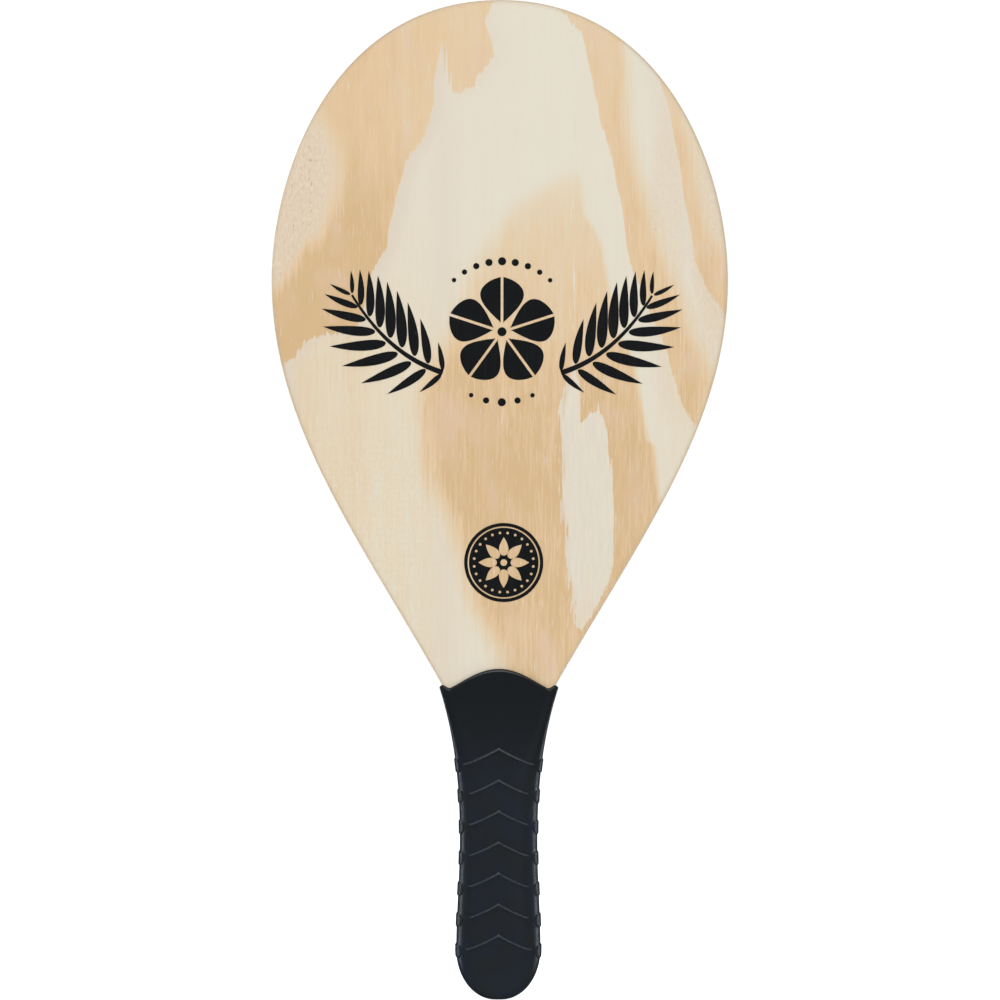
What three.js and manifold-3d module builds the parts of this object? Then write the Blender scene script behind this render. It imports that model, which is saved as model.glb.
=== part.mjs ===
// Wooden beach racket: a five-ply plywood blade whose tang runs down the handle, two wooden cheeks
// glued to the tang to fill the handle out, and a moulded rubber sleeve pulled over all three.
// Millimetres. +Z runs from the butt to the head, and the front face looks along -Y. The origin is
// on the handle's axis at the waist of the grip, where the hand closes.
import * as THREE from "three";
import { mergeVertices } from "three/addons/utils/BufferGeometryUtils.js";
import Module from "manifold-3d";

const wasm = await Module();
wasm.setup();
const { lerp, smoothstep } = THREE.MathUtils;

// The egg-shaped blade, seen from the front.
const blade = {
  width: 200.8,
  topHeight: 370, // grip waist to the crown
  widestHeight: 246.7,
  crownShoulder: 48, // height over which the side turns in towards the crown
  crownFlat: 73, // half the width over which the crown runs nearly level
  flankShoulder: 63, // height over which the side turns in towards the handle
  flankRun: 66, // height over which the flank runs nearly straight to the grip
  edgeRadius: 1.3, // rounding of the exposed edges
  brokenEdge: 0.2, // rounding left on the edges under the sleeve
};
const flankSlopeShare = 0.57; // sideways travel of the flank for each unit of height
const roundingLimitShare = 0.9; // the most of a face veneer that its rounding may take

// Thicknesses of the veneers, from the middle outwards.
const ply = {
  core: 2.4,
  cross: 2.2,
  face: 1.6,
};

// The rubber sleeve: widths are across the racket, depths front to back.
const grip = {
  waistWidth: 34.2,
  palmWidth: 37.2,
  mouthWidth: 53.3,
  waistDepth: 26.8,
  palmDepth: 29.2,
  buttHeight: 70, // grip waist down to the end of the butt
  domeHeight: 22, // height of the rounded butt
  shoulderHeight: 22, // where the sleeve starts to thin towards the blade
  mouthHeight: 68.7, // grip waist up to the corners of the mouth
  neckDrop: 18, // height below the mouth over which the tang turns into the flank
  wall: 2.2,
  lipWall: 1.3, // wall at the mouth
  buttWall: 5.5, // rubber under the end of the tang
  fit: 0.3, // clearance between the rubber and the wood
  cutOverrun: 4, // how far the cut at the mouth passes the sleeve
};
const mouthSlopeShare = 0.33; // sideways travel of the sleeve for each unit of height at the mouth
const buttFlatShare = 0.08; // share of the palm's width that is flat at the end of the butt
const probeShare = 0.001; // share of a height over which a slope is measured
const gripRoundness = 2.6; // exponent of the section's superellipse at the grip
const mouthRoundness = 7; // the same at the mouth, where the section is nearly a flat box
const tangEndRoundness = 2.6; // exponent of the superellipse at the end of the tang

// The sleeve's mouth rises to an arch on each face and dips beside the blade's edges.
const lip = {
  rise: 7.1, // arch above the corners
  dip: 1.5, // lowest point of the lip below the corners
  dipReach: 22, // distance of the lowest point from the middle
  cornerWidth: 1.8, // the part of the mouth that wraps each edge of the blade
};

// Raised chevrons on both faces, each growing into a pad where it wraps round the sides.
const chevron = {
  firstHeight: 40.6, // peak of the topmost chevron
  lastHeight: -40.9, // peak of the lowest chevron
  armReach: 12.8, // distance from the middle at which the arm's drop is measured
  armDrop: 6,
  armEnd: 12.4, // distance from the middle at which an arm starts to sink back
  armFade: 1.4, // distance over which it sinks
  sideDrop: 7.4, // drop at the sides, where the pads lie
  proud: 0.5, // height of the relief
  ribHalf: 0.3, // half the width of the raised line on the face
  ribFlank: 0.45, // width of the line's sloping side
  padHalf: 2.5, // half the height of the pad at the side
  padFlank: 0.8, // height of the pad's sloping side
  clear: 1.2, // plain surface kept next to the first and last chevron
};
const chevronCount = 7;
const peakSlopeShare = 0.56; // slope of the arms at the peak
const padStartShare = 0.85; // share of the half width where a pad starts to rise and widen
const padFullShare = 0.97; // share of the half width where the pad has its full height

// The cheeks follow the inside of the sleeve and end short of its mouth.
const cheek = {
  setback: 10, // distance from the mouth down to the top of the cheek
  archHeight: 14, // height of the cheek's rounded top
  footGap: 1, // distance of the cheek's foot from the end of the tang
};
const cheekRoundness = 2.3; // exponent of the cheek's section
const cheekTipShare = 0.38; // share of the width that is left at the cheek's blunt tip

// How finely curved forms are cut into facets.
const steps = {
  settle: 3, // rounds in which a ring finds its own height on the flaring sleeve
  tangEnd: 7,
  tang: 10,
  neck: 5,
  flank: 16,
  crown: 17,
  edge: 3,
  girth: 48,
  dome: 8,
  flare: 10,
  cheekArc: 6,
  cheekTop: 6,
  arch: 20,
};

// The racket takes these heights and half widths from the sizes above.
const coreFace = ply.core / 2;
const crossFace = coreFace + ply.cross;
const bladeFace = crossFace + ply.face;
const palmHeight = grip.domeHeight - grip.buttHeight;
const tangEnd = grip.buttWall - grip.buttHeight;
const rounding = Math.min(blade.edgeRadius, roundingLimitShare * ply.face);
const neckHeight = grip.mouthHeight - grip.neckDrop;
const mouthHalf = grip.mouthWidth / 2 - grip.lipWall - grip.fit;
const mouthDepthHalf = bladeFace + grip.fit + grip.lipWall;

// A cubic that leaves one height and width with a given slope and arrives at another.
function hermite(z, from, to) {
  const run = to.z - from.z;
  const t = (z - from.z) / run;
  const early = (1 - t) * (1 - t);
  const late = t * t;
  return (
    from.x * early * (1 + 2 * t) +
    to.x * late * (3 - 2 * t) +
    from.slope * run * t * early -
    to.slope * run * late * (1 - t)
  );
}

// The rounded butt narrows this much from the palm to the flat at its end.
function domeShare(z) {
  const t = Math.min((palmHeight - z) / grip.domeHeight, 1);
  return buttFlatShare + (1 - buttFlatShare) * Math.sqrt(1 - t * t);
}

// Half the sleeve's width at a height, without the relief.
function gripHalfWidth(z) {
  const palm = grip.palmWidth / 2;
  const waist = grip.waistWidth / 2;
  const mouth = grip.mouthWidth / 2;
  if (z < palmHeight) return palm * domeShare(z);
  if (z < 0) return lerp(palm, waist, smoothstep(z, palmHeight, 0));
  if (z > grip.mouthHeight) return mouth + mouthSlopeShare * (z - grip.mouthHeight);
  return hermite(
    z,
    { z: 0, x: waist, slope: 0 },
    { z: grip.mouthHeight, x: mouth, slope: mouthSlopeShare },
  );
}

// 0 along the grip and 1 at the mouth.
function thinning(z) {
  return smoothstep(z, grip.shoulderHeight, grip.mouthHeight);
}

// Half the sleeve's depth at a height, without the relief.
function gripHalfDepth(z) {
  const palm = grip.palmDepth / 2;
  const waist = grip.waistDepth / 2;
  if (z < palmHeight) return palm * domeShare(z);
  if (z < 0) return lerp(palm, waist, smoothstep(z, palmHeight, 0));
  return lerp(waist, mouthDepthHalf, thinning(z));
}

// Half the tang's width: it runs at one wall and one clearance inside the sleeve.
function tangHalfWidth(z) {
  return gripHalfWidth(z) - grip.wall - grip.fit;
}

// Right half of the plywood's outline, from the end of the tang up to the crown.
function halfOutline() {
  const points = [];
  const tangHalf = tangHalfWidth(palmHeight);
  for (let i = 0; i < steps.tangEnd; i++) {
    const angle = ((Math.PI / 2) * i) / steps.tangEnd;
    const out = Math.sin(angle) ** (2 / tangEndRoundness);
    const down = Math.cos(angle) ** (2 / tangEndRoundness);
    points.push(new THREE.Vector2(tangHalf * out, lerp(palmHeight, tangEnd, down)));
  }
  for (let i = 0; i < steps.tang; i++) {
    const z = lerp(palmHeight, neckHeight, i / steps.tang);
    points.push(new THREE.Vector2(tangHalfWidth(z), z));
  }
  const probe = probeShare * grip.mouthHeight;
  const neck = { z: neckHeight, x: tangHalfWidth(neckHeight) };
  neck.slope = (neck.x - tangHalfWidth(neckHeight - probe)) / probe;
  const mouth = { z: grip.mouthHeight, x: mouthHalf, slope: flankSlopeShare };
  for (let i = 0; i < steps.neck; i++) {
    const z = lerp(neckHeight, grip.mouthHeight, i / steps.neck);
    points.push(new THREE.Vector2(hermite(z, neck, mouth), z));
  }
  const half = blade.width / 2;
  const flank = new THREE.CubicBezierCurve(
    new THREE.Vector2(mouthHalf, grip.mouthHeight),
    new THREE.Vector2(
      mouthHalf + flankSlopeShare * blade.flankRun,
      grip.mouthHeight + blade.flankRun,
    ),
    new THREE.Vector2(half, blade.widestHeight - blade.flankShoulder),
    new THREE.Vector2(half, blade.widestHeight),
  );
  const crown = new THREE.CubicBezierCurve(
    new THREE.Vector2(half, blade.widestHeight),
    new THREE.Vector2(half, blade.widestHeight + blade.crownShoulder),
    new THREE.Vector2(blade.crownFlat, blade.topHeight),
    new THREE.Vector2(0, blade.topHeight),
  );
  points.push(...flank.getSpacedPoints(steps.flank).slice(0, -1));
  points.push(...crown.getSpacedPoints(steps.crown));
  return points;
}

// The outline moved inwards by an amount that may differ from point to point.
function insetOutline(line, insetAt) {
  const last = line.length - 1;
  return line.map((point, i) => {
    const before = i > 0 ? line[i - 1] : new THREE.Vector2(-line[1].x, line[1].y);
    const after = i < last ? line[i + 1] : new THREE.Vector2(-line[last - 1].x, point.y);
    const along = after.clone().sub(before).normalize();
    const inset = insetAt(point);
    const x = point.x - along.y * inset;
    const z = point.y + along.x * inset;
    return new THREE.Vector2(i === 0 || i === last ? 0 : x, z);
  });
}

// A right half and its mirror image, as one ring with a depth for each point of the half.
function outlineRing(half, depths) {
  return mirrored(half.map((p, i) => new THREE.Vector3(p.x, depths[i], p.y)));
}

// A ring from its right half, whose first and last points lie in the middle.
function mirrored(right) {
  const left = right.slice(1, -1).reverse();
  return [...right, ...left.map((p) => new THREE.Vector3(-p.x, p.y, p.z))];
}

// One closed solid through rings of as many points each. Point i of a ring is the mirror image of
// point count - i, so the two end faces are closed by rungs from side to side.
function loft(rings) {
  const count = rings[0].length;
  const half = count / 2;
  const faces = [];
  rings.slice(1).forEach((_, level) => {
    const low = level * count;
    const high = low + count;
    for (let i = 0; i < count; i++) {
      const next = (i + 1) % count;
      faces.push([low + i, low + next, high + next], [low + i, high + next, high + i]);
    }
  });
  const closeEnd = (start, flip) => {
    const add = (a, b, c) => {
      const face = flip ? [a, c, b] : [a, b, c];
      faces.push(face.map((corner) => start + corner));
    };
    add(0, count - 1, 1);
    for (let i = 1; i < half - 1; i++) {
      add(i, count - i, count - i - 1);
      add(i, count - i - 1, i + 1);
    }
    add(half - 1, half + 1, half);
  };
  closeEnd(0, false);
  closeEnd((rings.length - 1) * count, true);
  const geometry = new THREE.BufferGeometry().setFromPoints(rings.flat());
  geometry.setIndex(faces.flat());
  if (signedVolume(geometry) < 0) {
    geometry.setIndex(faces.flatMap(([a, b, c]) => [a, c, b]));
  }
  return geometry;
}

// Six times the volume, negative if the faces look inwards.
function signedVolume(geometry) {
  const position = geometry.getAttribute("position");
  const corner = [0, 1, 2].map(() => new THREE.Vector3());
  let sum = 0;
  for (let i = 0; i < geometry.index.count; i += 3) {
    corner.forEach((c, k) => c.fromBufferAttribute(position, geometry.index.getX(i + k)));
    sum += corner[0].dot(corner[1].cross(corner[2]));
  }
  return sum;
}

const outline = halfOutline();

// The exposed edges are rounded, and under the sleeve the rounding fades to a broken edge.
function edgeRadiusAt(point) {
  const shown = smoothstep(point.y, neckHeight, grip.mouthHeight);
  return lerp(blade.brokenEdge, rounding, shown);
}

// Rings that round the edge of the face at a depth, from the plain edge in to the flat face.
function roundedRings(half, face) {
  const side = Math.sign(face);
  return Array.from({ length: steps.edge + 1 }, (_, i) => {
    const angle = ((Math.PI / 2) * i) / steps.edge;
    const inset = insetOutline(half, (p) => edgeRadiusAt(p) * (1 - Math.cos(angle)));
    const depths = half.map((p) => face - side * edgeRadiusAt(p) * (1 - Math.sin(angle)));
    return outlineRing(inset, depths);
  });
}

// The whole outline at one depth.
function flatRing(depth) {
  return outlineRing(outline, outline.map(() => depth));
}

// A veneer with square edges between two depths.
function plainPly(from, to) {
  return loft([from, to].map((depth) => flatRing(depth)));
}

// A face veneer: flat where it is glued, and rounded round its outer face.
function facePly(glued, face) {
  return loft([flatRing(glued), ...roundedRings(outline, face)]);
}

// One cheek, or with grow above zero the room that it needs inside the sleeve. The section is half
// a superellipse that stands on the blade's face.
function cheekForm(side, grow, sink) {
  const foot = tangEnd + cheek.footGap - grow;
  const top = grip.mouthHeight - cheek.setback + grow;
  const archStart = top - cheek.archHeight;
  const heights = outline.map((p) => p.y).filter((z) => z > foot && z < archStart);
  const stations = [foot, ...heights];
  for (let i = 0; i <= steps.cheekTop; i++) stations.push(lerp(archStart, top, i / steps.cheekTop));
  return loft(
    stations.map((z) => {
      const climb = Math.max(0, (z - archStart) / cheek.archHeight);
      const narrowing = lerp(1, Math.sqrt(1 - Math.min(climb, 1) ** 2), 1 - cheekTipShare);
      const half = (outlineHalfAt(z) - blade.brokenEdge) * narrowing + grow;
      const wall = lerp(grip.wall, grip.lipWall, thinning(z));
      const thickness = gripHalfDepth(z) - bladeFace - wall - grip.fit + grow;
      return cheekRing(side, z, half, thickness, sink);
    }),
  );
}

// The foot of a cheek's section lies on the blade's face, or is sunk below it in a cutting shape.
function cheekRing(side, z, half, thickness, sink) {
  const base = side * (bladeFace - sink);
  const right = [new THREE.Vector3(0, base, z), new THREE.Vector3(half, base, z)];
  for (let i = 1; i <= steps.cheekArc; i++) {
    const angle = ((Math.PI / 2) * i) / steps.cheekArc;
    const x = half * Math.cos(angle) ** (2 / cheekRoundness);
    const y = thickness * Math.sin(angle) ** (2 / cheekRoundness);
    right.push(new THREE.Vector3(i < steps.cheekArc ? x : 0, side * (bladeFace + y), z));
  }
  return mirrored(right);
}

// Half the plywood's width at a height of the tang, read off the outline.
function outlineHalfAt(z) {
  const i = Math.max(1, outline.findIndex((p) => p.y > z));
  const share = (z - outline[i - 1].y) / (outline[i].y - outline[i - 1].y);
  return lerp(outline[i - 1].x, outline[i].x, Math.max(0, share));
}

// How far a chevron's arm has dropped at a distance from the middle.
function armDrop(x) {
  const reach = Math.min(x / chevron.armReach, 1);
  const straight = peakSlopeShare * chevron.armReach;
  const past = smoothstep(x, chevron.armReach, grip.waistWidth / 2);
  const levelled = past * (chevron.sideDrop - chevron.armDrop);
  return straight * reach - (straight - chevron.armDrop) * reach ** 2 + levelled;
}

// One ring of the sleeve's outer surface. Shear 1 bends it along the chevrons and 0 leaves it
// level. Edge is 1 above a chevron's line, -1 below it and 0 on a plain ring, and a raised ring
// bounds the top of the relief where the others bound its foot.
function sleeveRing({ level, shear, edge = 0, raised = false }) {
  return Array.from({ length: steps.girth }, (_, i) => {
    const angle = (2 * Math.PI * i) / steps.girth;
    const middle = i % (steps.girth / 2) === 0;
    let z = level;
    let point;
    for (let round = 0; round < steps.settle; round++) {
      point = sectionPoint(z, middle ? 0 : Math.sin(angle), -Math.cos(angle));
      const reach = Math.abs(point.x);
      z = level - shear * armDrop(reach) + edge * reliefHalf(reach / gripHalfWidth(z), raised);
    }
    const out = raised ? reliefHeight(Math.abs(point.x), gripHalfWidth(z)) : 0;
    return new THREE.Vector3(point.x + point.nx * out, point.y + point.ny * out, z);
  });
}

// Half the height of the relief, at its top or its foot, at a share of the sleeve's half width.
function reliefHalf(share, raised) {
  const widening = smoothstep(share, padStartShare, padFullShare);
  const half = lerp(chevron.ribHalf, chevron.padHalf, widening);
  return half + (raised ? 0 : lerp(chevron.ribFlank, chevron.padFlank, widening));
}

// Height of the relief: the arms sink back into the sleeve before the pads rise at its sides.
function reliefHeight(reach, halfWidth) {
  const armShare = 1 - smoothstep(reach, chevron.armEnd, chevron.armEnd + chevron.armFade);
  const padShare = smoothstep(reach / halfWidth, padStartShare, padFullShare);
  return chevron.proud * Math.max(armShare, padShare);
}

// A point of the sleeve's superellipse at a height, with its outward direction.
function sectionPoint(z, across, forward) {
  const a = gripHalfWidth(z);
  const b = gripHalfDepth(z);
  const n = lerp(gripRoundness, mouthRoundness, thinning(z));
  const u = Math.sign(across) * Math.abs(across) ** (2 / n);
  const v = Math.sign(forward) * Math.abs(forward) ** (2 / n);
  const nx = (Math.sign(u) * Math.abs(u) ** (n - 1)) / a;
  const ny = (Math.sign(v) * Math.abs(v) ** (n - 1)) / b;
  const length = Math.hypot(nx, ny);
  return { x: u * a, y: v * b, nx: nx / length, ny: ny / length };
}

// Outer surface of the sleeve: the domed butt, the chevrons, and the flare to past the mouth.
function sleeveOuter() {
  const relief = chevron.padHalf + chevron.padFlank;
  const lowest = chevron.lastHeight - relief - chevron.clear;
  const highest = chevron.firstHeight + relief + chevron.clear;
  const top = grip.mouthHeight + lip.rise + grip.cutOverrun;
  const rings = [];
  for (let i = 0; i < steps.dome; i++) {
    const share = 1 - Math.cos(((Math.PI / 2) * i) / steps.dome);
    rings.push(sleeveRing({ level: lerp(-grip.buttHeight, lowest, share), shear: share }));
  }
  const pitch = (chevron.firstHeight - chevron.lastHeight) / (chevronCount - 1);
  for (let i = 0; i < chevronCount; i++) {
    const level = chevron.lastHeight + pitch * i;
    rings.push(sleeveRing({ level, shear: 1, edge: -1 }));
    rings.push(sleeveRing({ level, shear: 1, edge: -1, raised: true }));
    rings.push(sleeveRing({ level, shear: 1, edge: 1, raised: true }));
    rings.push(sleeveRing({ level, shear: 1, edge: 1 }));
    if (i < chevronCount - 1) rings.push(sleeveRing({ level: level + pitch / 2, shear: 1 }));
  }
  for (let i = 0; i <= steps.flare; i++) {
    const share = i / steps.flare;
    rings.push(sleeveRing({ level: lerp(highest, top, share), shear: (1 - share) ** 2 }));
  }
  return loft(rings);
}

// Height of the lip at a distance from the middle.
function lipHeight(x) {
  const corner = grip.mouthWidth / 2 - lip.cornerWidth;
  const peak = grip.mouthHeight + lip.rise;
  const low = grip.mouthHeight - lip.dip;
  const reach = Math.min(Math.abs(x) / lip.dipReach, 1);
  const arch = lerp(low, peak, Math.cos((Math.PI / 2) * reach));
  return Math.max(arch, lerp(low, grip.mouthHeight, smoothstep(Math.abs(x), lip.dipReach, corner)));
}

// Everything above the lip, to be cut off the sleeve.
function aboveLip() {
  const side = grip.mouthWidth / 2 + grip.wall + grip.cutOverrun;
  const depth = grip.palmDepth;
  const ceiling = grip.mouthHeight + lip.rise + 2 * grip.cutOverrun;
  const shape = new THREE.Shape();
  shape.moveTo(side, ceiling);
  shape.lineTo(-side, ceiling);
  for (let i = -steps.arch; i <= steps.arch; i++) {
    const x = (side * i) / steps.arch;
    shape.lineTo(x, lipHeight(x));
  }
  shape.closePath();
  const prism = new THREE.ExtrudeGeometry(shape, { depth, bevelEnabled: false });
  return prism.rotateX(Math.PI / 2).translate(0, depth / 2, 0);
}

// A closed geometry as a solid that can be cut.
function toSolid(geometry) {
  const plain = geometry.clone();
  plain.deleteAttribute("normal");
  plain.deleteAttribute("uv");
  const merged = mergeVertices(plain);
  return new wasm.Manifold(
    new wasm.Mesh({
      numProp: 3,
      vertProperties: new Float32Array(merged.getAttribute("position").array),
      triVerts: new Uint32Array(merged.index.array),
    }),
  );
}

function toGeometry(solid) {
  const mesh = solid.getMesh();
  const geometry = new THREE.BufferGeometry();
  geometry.setAttribute("position", new THREE.BufferAttribute(mesh.vertProperties, mesh.numProp));
  return geometry.setIndex(new THREE.BufferAttribute(mesh.triVerts, 1));
}

// The sleeve is the outer form less the room for the wood and all that lies above the lip.
function gripSleeve() {
  const roomy = insetOutline(outline, () => -grip.fit);
  const roomFace = bladeFace + grip.fit;
  const bladeRoom = loft([
    ...roundedRings(roomy, -roomFace).reverse(),
    ...roundedRings(roomy, roomFace),
  ]);
  const cheekRooms = [-1, 1].map((side) => cheekForm(side, grip.fit, ply.face));
  const cuts = [bladeRoom, ...cheekRooms, aboveLip()].map(toSolid);
  return toGeometry(cuts.reduce((solid, cut) => solid.subtract(cut), toSolid(sleeveOuter())));
}

// Finishes: the face veneers are pale pine, the cross plies a shade darker, the sleeve black rubber.
const pine = new THREE.MeshStandardMaterial({ color: 0xe6d3b3, roughness: 0.55, metalness: 0 });
const crossGrain = new THREE.MeshStandardMaterial({ color: 0xd2b083, roughness: 0.7, metalness: 0 });
const cheekWood = new THREE.MeshStandardMaterial({ color: 0xdcc094, roughness: 0.7, metalness: 0 });
const rubber = new THREE.MeshStandardMaterial({ color: 0x24292e, roughness: 0.6, metalness: 0 });

const racket = new THREE.Group();

function add(name, geometry, material) {
  geometry.computeVertexNormals();
  const mesh = new THREE.Mesh(geometry, material);
  mesh.name = name;
  racket.add(mesh);
}

add("front_face_ply", facePly(-crossFace, -bladeFace), pine);
add("front_cross_ply", plainPly(-coreFace, -crossFace), crossGrain);
add("core_ply", plainPly(-coreFace, coreFace), pine);
add("rear_cross_ply", plainPly(coreFace, crossFace), crossGrain);
add("rear_face_ply", facePly(crossFace, bladeFace), pine);
add("front_handle_cheek", cheekForm(-1, 0, 0), cheekWood);
add("rear_handle_cheek", cheekForm(1, 0, 0), cheekWood);
add("grip_sleeve", gripSleeve(), rubber);

export default racket;
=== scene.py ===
import math

import bmesh
import bpy
import numpy as np
from mathutils import Matrix, Quaternion, Vector


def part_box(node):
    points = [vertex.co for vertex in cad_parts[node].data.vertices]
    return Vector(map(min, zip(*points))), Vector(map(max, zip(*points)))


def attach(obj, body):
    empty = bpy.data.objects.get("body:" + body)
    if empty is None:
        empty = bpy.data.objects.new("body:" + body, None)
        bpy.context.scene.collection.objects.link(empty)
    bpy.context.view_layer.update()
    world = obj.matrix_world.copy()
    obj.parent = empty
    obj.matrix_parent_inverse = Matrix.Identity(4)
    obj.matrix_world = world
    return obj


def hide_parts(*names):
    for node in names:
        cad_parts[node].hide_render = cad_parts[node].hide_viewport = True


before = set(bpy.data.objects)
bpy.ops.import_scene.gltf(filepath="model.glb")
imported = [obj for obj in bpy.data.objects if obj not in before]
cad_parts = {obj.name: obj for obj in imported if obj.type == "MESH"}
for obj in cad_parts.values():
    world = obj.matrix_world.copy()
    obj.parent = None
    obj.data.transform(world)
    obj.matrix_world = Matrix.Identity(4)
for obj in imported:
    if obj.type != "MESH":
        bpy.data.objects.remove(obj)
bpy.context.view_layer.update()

mm = 0.001  # lengths below are in millimetres, apart from those of the lamps
scene = bpy.context.scene
print("frame loaded")


def nodeSpan(name):
    # lowest and highest corner of a CAD node, in millimetres
    return [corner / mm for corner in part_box(name)]


def lerp(low, high, share):
    return low + (high - low) * share


def smoothShare(value, low, high):
    share = np.clip((value - low) / (high - low), 0, 1)
    return share * share * (3 - 2 * share)


def tint(*levels):
    # a colour read off a screen, as the linear values that shaders take
    def linear(level):
        level /= 255
        return level / 12.92 if level <= 0.04045 else ((level + 0.055) / 1.055) ** 2.4
    return (*map(linear, levels), 1)


def sign(operation, swapped=False):
    # a sign of arithmetic that adds a Math node
    def result(self, other):
        return self.graph.math(operation, *((other, self) if swapped else (self, other)))
    return result


# An output of a node, which is reckoned with like a number.
class Value:
    __add__, __radd__ = sign("ADD"), sign("ADD", True)
    __sub__, __rsub__ = sign("SUBTRACT"), sign("SUBTRACT", True)
    __mul__, __truediv__ = sign("MULTIPLY"), sign("DIVIDE")
    atLeast, atMost = sign("MAXIMUM"), sign("MINIMUM")

    def __init__(self, graph, socket):
        self.graph, self.socket = graph, socket

    def __abs__(self):
        return self.graph.math("ABSOLUTE", self)

    def split(self):
        # x, y and z of a vector
        made = self.graph.node("ShaderNodeSeparateXYZ", {"Vector": self})
        return [Value(self.graph, part) for part in made.outputs]

    def smooth(self, low, high, lowValue=0.0, highValue=1.0):
        given = (self, low, high, lowValue, highValue)
        return self.graph.add("ShaderNodeMapRange", given, interpolation_type="SMOOTHSTEP")

    def noise(self, stretch, detail=2.0, roughness=0.5, shift=(0, 0, 0)):
        # stretch is how many features there are per millimetre along each axis
        moved = self.graph.add("ShaderNodeMapping", {"Vector": self, "Location": shift, "Scale": stretch})
        return self.graph.add("ShaderNodeTexNoise", {
            "Vector": moved, "Scale": 1.0, "Detail": detail, "Roughness": roughness,
        })

    def centred(self, reach):
        # a noise between 0 and 1 as a number between -reach and reach
        return (self - 0.5) * (2 * reach)

    def curve(self, points, taken, given, handle="AUTO"):
        # a curve through given points of (value, result), with the ranges of both
        wide, tall = taken[1] - taken[0], given[1] - given[0]
        made = self.graph.node("ShaderNodeFloatCurve", {"Value": (self - taken[0]) / wide})
        line = made.mapping.curves[0].points
        spots = [((a - taken[0]) / wide, (b - given[0]) / tall) for a, b in sorted(points)]
        line[0].location, line[1].location = spots[0], spots[-1]
        for spot in spots[1:-1]:
            line.new(*spot)
        for point in line:
            point.handle_type = handle
        made.mapping.extend = "HORIZONTAL"
        made.mapping.update()
        return Value(self.graph, made.outputs[0]) * tall + given[0]


# Short spellings for building a node tree.
class Graph:
    def __init__(self, tree):
        self.tree = tree

    def node(self, kind, inputs=(), **settings):
        # inputs are given by name, or in the order that the node has them
        made = self.tree.nodes.new(kind)
        made.location.x = 190 * len(self.tree.nodes)
        for key, value in settings.items():
            setattr(made, key, value)
        for key, value in (inputs.items() if isinstance(inputs, dict) else enumerate(inputs)):
            self.feed(made.inputs[key], value)
        return made

    def add(self, kind, inputs=(), output=0, **settings):
        return Value(self, self.node(kind, inputs, **settings).outputs[output])

    def feed(self, socket, value):
        if isinstance(value, Value):
            self.tree.links.new(value.socket, socket)
        else:
            socket.default_value = value

    def math(self, operation, *values):
        return self.add("ShaderNodeMath", values, operation=operation)

    def vector(self, operation, *values):
        return self.add("ShaderNodeVectorMath", values, operation=operation)

    def scaled(self, vector, factor):
        return self.add("ShaderNodeVectorMath", {0: vector, "Scale": factor}, operation="SCALE")

    def combine(self, *values):
        return self.add("ShaderNodeCombineXYZ", values)

    def attribute(self, name):
        return self.add("ShaderNodeAttribute", output="Fac", attribute_name=name)

    def normal(self):
        return self.add("ShaderNodeNewGeometry", output="Normal").split()

    def mixNumber(self, share, low, high):
        return self.add("ShaderNodeMix", {0: share, 2: low, 3: high}, data_type="FLOAT")

    def mix(self, share, low, high, blend="MIX"):
        return self.add("ShaderNodeMix", {0: share, 6: low, 7: high}, 2, data_type="RGBA", blend_type=blend)

    def bump(self, height, depth, strength):
        # height between 0 and 1 raises the surface by depth millimetres
        given = {"Height": height, "Distance": depth * mm, "Strength": strength}
        return self.add("ShaderNodeBump", given)

    def joined(self, parts):
        made = self.node("GeometryNodeJoinGeometry")
        for part in parts:
            self.feed(made.inputs[0], part)
        return Value(self, made.outputs[0])

    def shade(self, inputs):
        # feeds the shader of a material
        for key, value in inputs.items():
            self.feed(self.tree.nodes["Principled BSDF"].inputs[key], value)
        return self.material


def greatest(values):
    highest, *others = values
    for value in others:
        highest = highest.atLeast(value)
    return highest


def shaderGraph(name):
    # the graph of a new material, and the place on the object in millimetres
    made = bpy.data.materials.new(name)
    made.use_nodes = True
    graph = Graph(made.node_tree)
    graph.material = made
    return graph, graph.scaled(graph.add("ShaderNodeTexCoord", output="Object"), 1 / mm)


def link(name, data):
    piece = bpy.data.objects.new(name, data)
    scene.collection.objects.link(piece)
    return piece


def makePiece(name, points, faces, attributes, crease=60):
    # a smooth mesh from points in millimetres, with attributes that have a value for each point
    mesh = bpy.data.meshes.new(name)
    mesh.from_pydata((np.asarray(points) * mm).tolist(), [], faces)
    form = bmesh.new()
    form.from_mesh(mesh)
    bmesh.ops.recalc_face_normals(form, faces=form.faces)
    form.to_mesh(mesh)
    form.free()
    for key, values in attributes.items():
        values = np.asarray(values, np.float32)
        kind, field = ("FLOAT", "value") if values.ndim == 1 else ("FLOAT_VECTOR", "vector")
        mesh.attributes.new(key, kind, "POINT").data.foreach_set(field, values.ravel())
    mesh.shade_smooth()
    mesh.set_sharp_from_angle(angle=math.radians(crease))
    return link(name, mesh)


def geometryTree(name, numbers, counts=()):
    # the graph of a new geometry tree, and its inputs by name
    tree = bpy.data.node_groups.new(name, "GeometryNodeTree")
    kinds = {"geometry": "Geometry", "material": "Material"}
    kinds.update(dict.fromkeys(numbers, "Float"))
    kinds.update(dict.fromkeys(counts, "Int"))
    for label, kind in kinds.items():
        tree.interface.new_socket(label, in_out="INPUT", socket_type="NodeSocket" + kind)
    tree.interface.new_socket("geometry", in_out="OUTPUT", socket_type="NodeSocketGeometry")
    graph = Graph(tree)
    return graph, {socket.name: Value(graph, socket) for socket in graph.node("NodeGroupInput").outputs}


def endTree(graph, geometry, material):
    real = graph.add("GeometryNodeRealizeInstances", {"Geometry": geometry})
    dressed = graph.add("GeometryNodeSetMaterial", {"Geometry": real, "Material": material})
    graph.node("NodeGroupOutput", {"geometry": dressed})
    return graph.tree


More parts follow.
